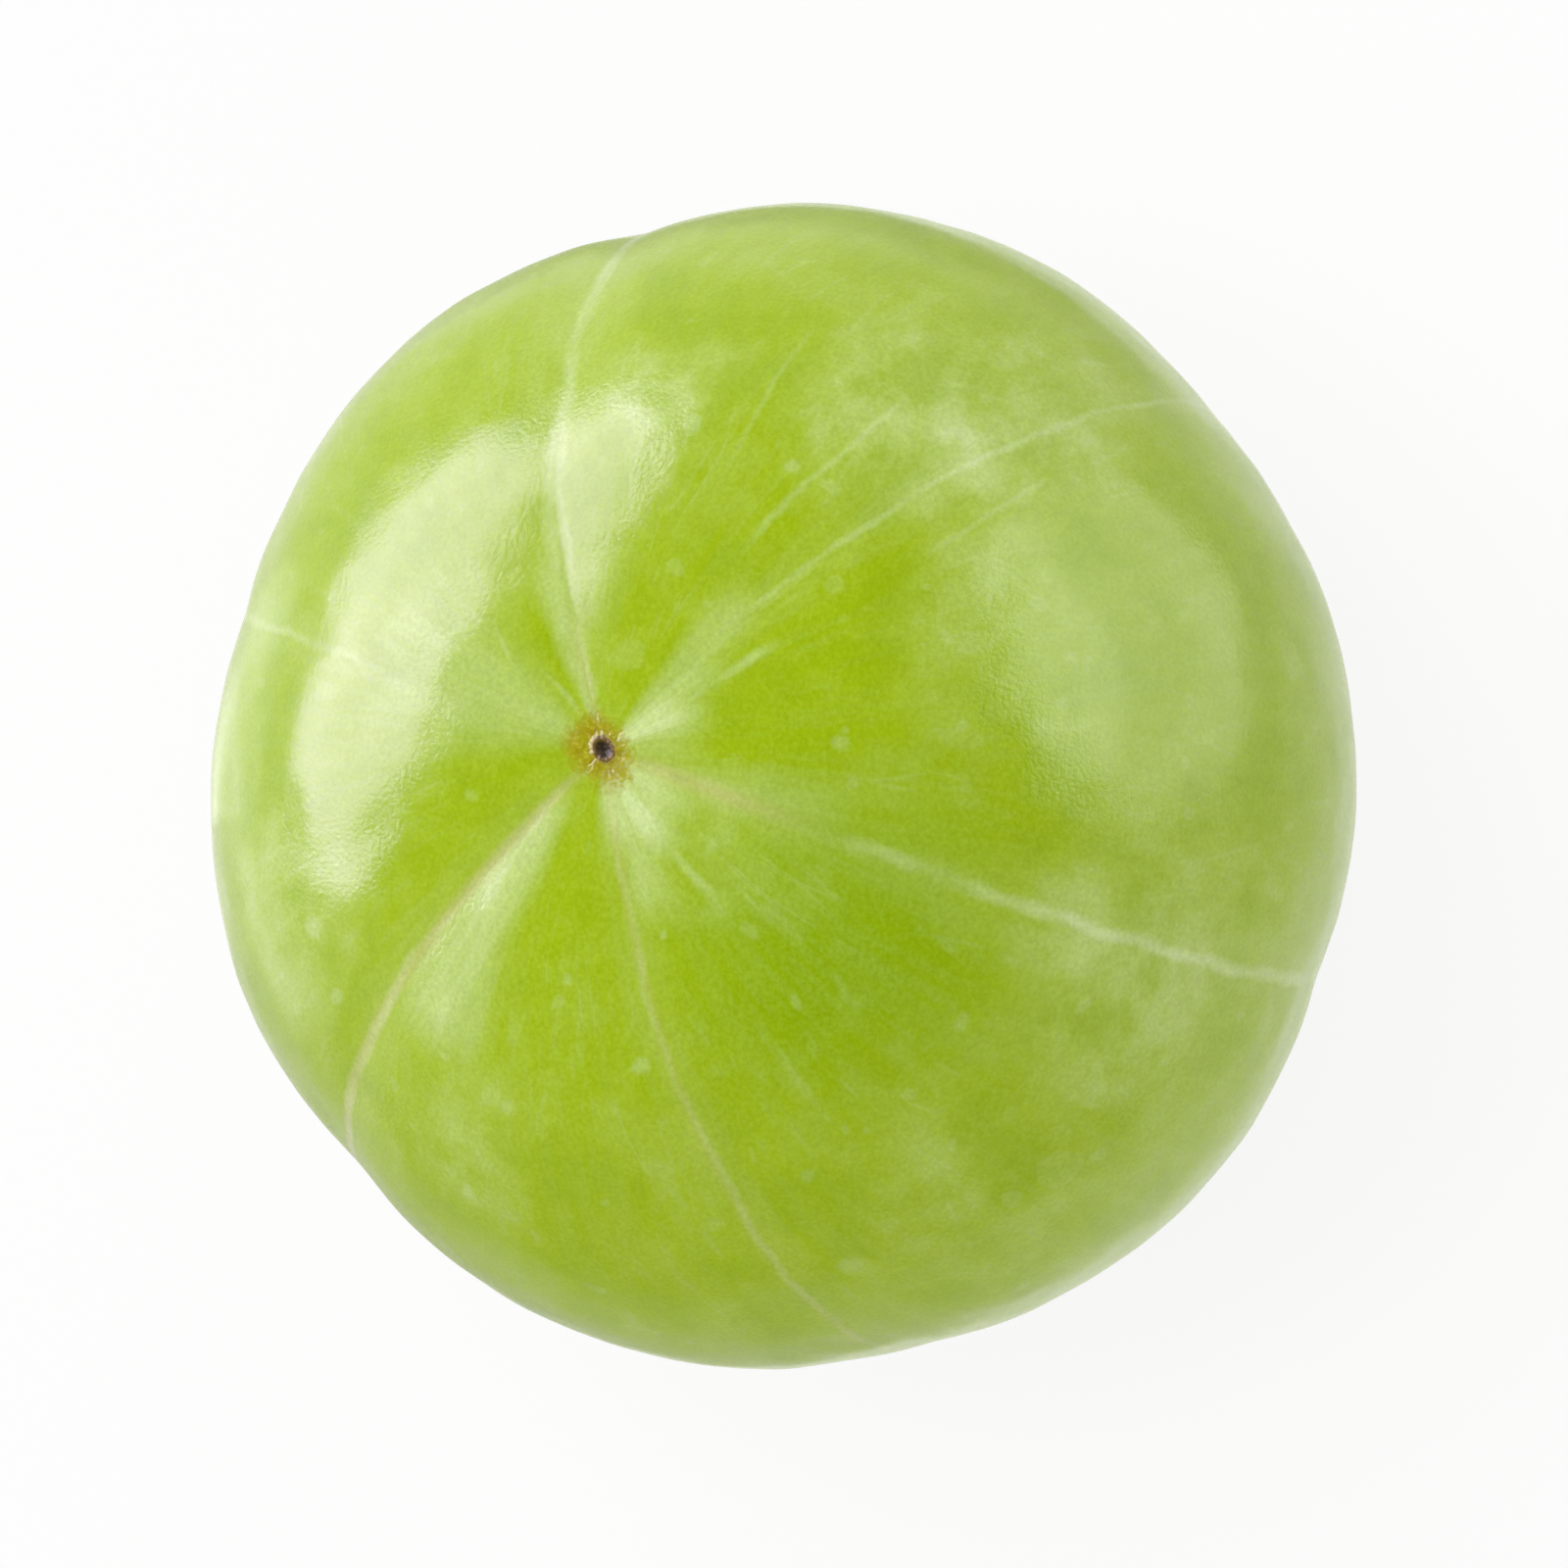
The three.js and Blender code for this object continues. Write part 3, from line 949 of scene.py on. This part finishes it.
# %% White cards
CARD_WIDTH = 0.062
SIDE_CARDS = [  # name, share of the card left out below, metres before it, radiance
    ("side_card", 0, 0, 2.4),
    ("side_card_top", 0.30, 0.002, 2.3),  # the upper part of the card is the brighter one
]
side_way = toward(-63, 0)
card_low = 0.046 * side_way + Vector((0, 0, 0.003))
card_high = 0.084 * side_way + Vector((0, 0, 0.092))
card_slope = card_high - card_low
card_facing = card_slope.cross(side_way).cross(card_slope).normalized()
for name, start, before, radiance in SIDE_CARDS:
    middle = card_low + (1 + start) / 2 * card_slope - before * card_facing
    length = (1 - start) * card_slope.length
    card = lamp(name, middle, -card_facing, CARD_WIDTH, length, radiance)
    card.visible_diffuse = False
print("side card", round(MM_PER_METRE * card_slope.length), "mm long")

floor_card_at = Vector((-0.01, 0.10, 0.002))
floor_card = lamp("floor_card", floor_card_at, Vector((0, 0, 1)), 0.06, 0.14, radiance=0.7)
floor_card.visible_diffuse = False

# %% Fills
FILLS = [  # name, bearing and elevation in degrees, width in metres, radiance
    ("overhead_fill", 0, 70, 1.6, 1.40),
    ("far_fill", 210, 35, 1.2, 0.70),
]
for name, bearing_of_fill, elevation, size, radiance in FILLS:
    way = toward(bearing_of_fill, elevation)
    fill = lamp(name, fruit_middle + way, -way, size, size, radiance)  # 1 metre away
    fill.visible_glossy = False

# %% [markdown]
# ## Grey cards
# White paper all round would put a bright edge on every side of the wax. Grey or black cards just
# outside the view keep such edges dark. Here a flat card stands past the lower edge of the view,
# and two low collars curve close round the fruit. Only reflections see them. The collars are
# painted light: no lamp lights them, they glow grey by themselves, and fade to white at both
# ends, so that these ends don't show in the wax.

# %% Grey card
CARD_AT, CARD_HALF, CARD_LOW, CARD_HIGH = -0.042, 0.06, 0.001, 0.045  # metres
CARD_GREY = linear("#959595")


def only_in_reflections(piece):
    """Hides a piece from everything but glossy surfaces."""
    for kind in ("camera", "diffuse", "transmission", "volume_scatter", "shadow"):
        setattr(piece, "visible_" + kind, False)


grey_card = studio_piece("grey_card", [
    (CARD_AT, -CARD_HALF, CARD_LOW), (CARD_AT, CARD_HALF, CARD_LOW),
    (CARD_AT, CARD_HALF, CARD_HIGH), (CARD_AT, -CARD_HALF, CARD_HIGH)])
only_in_reflections(grey_card)
# Grey board is matt, so the wax mirrors it as one even tone.
tree = new_tree("matt_grey_board", grey_card)
add(tree, "OutputMaterial", {"Surface": add(tree, "BsdfDiffuse", {"Color": CARD_GREY})})
print("grey card", 2 * CARD_HALF, "m wide")

# %% Grey collars
COLLAR_RADIUS = 0.026
COLLAR_LOW = 0.0005
COLLAR_STEPS = 32
COLLARS = [  # first and last bearing in degrees, height in metres, how grey it is in the middle
    (98, 232, 0.020, 0.46),
    (-52, 66, 0.012, 0.55),
]
edge = COLLAR_STEPS + 1  # points along the lower edge, and as many along the upper one
collar_faces = [(c, c + 1, c + 1 + edge, c + edge) for c in range(COLLAR_STEPS)]
share = np.linspace(0, 1, edge)
for i, (first, last, high, greyest) in enumerate(COLLARS):
    rim = [COLLAR_RADIUS * toward(first + s * (last - first), 0) for s in share]
    corners = [(c.x, c.y, z) for z in (COLLAR_LOW, high) for c in rim]
    collar = studio_piece(f"collar_{i}", corners, collar_faces)
    only_in_reflections(collar)
    # painted light: the glow is greyest in the middle and white at both ends
    brightness = 1 - greyest * ease(3 * np.minimum(share, 1 - share))
    on_points = np.tile(brightness, 2).astype(np.float32)
    collar.data.attributes.new("glow", "FLOAT", "POINT").data.foreach_set("value", on_points)
    # The collar is no lamp and nothing lights it: it glows as painted light, greyest in the middle.
    tree = new_tree("glowing_grey_collar", collar)
    glow = add(tree, "Attribute", output="Fac", attribute_name="glow")
    add(tree, "OutputMaterial", {"Surface": add(tree, "Emission", {"Strength": glow})})
print(len(COLLARS), "collars")

# %% [markdown]
# ## The world
# The walls of the studio are pale up to about 15 degrees, and its ceiling is dark. One even grey
# all round would lay a haze over the wax, and a dark ceiling keeps the top of the fruit green
# where no lamp is reflected.

# %% World
WALLS_TO, CEILING_FROM = math.radians(15), math.radians(45)
WALL_GLOW, CEILING_GLOW = 0.9, 0.04

world = bpy.data.worlds.new("studio")
bpy.context.scene.world = world
world.use_nodes = True
tree = world.node_tree
tree.nodes.clear()
up = add(tree, "SeparateXYZ", [add(tree, "TexCoord", output="Generated")], output="Z")
fade = [up, math.sin(WALLS_TO), math.sin(CEILING_FROM), WALL_GLOW, CEILING_GLOW]
glow = add(tree, "MapRange", fade, interpolation_type="SMOOTHSTEP")
add(tree, "OutputWorld", {"Surface": add(tree, "Background", {"Strength": glow})})

bpy.context.scene.view_settings.view_transform = "Standard"
print("world graph of", len(tree.nodes), "nodes")
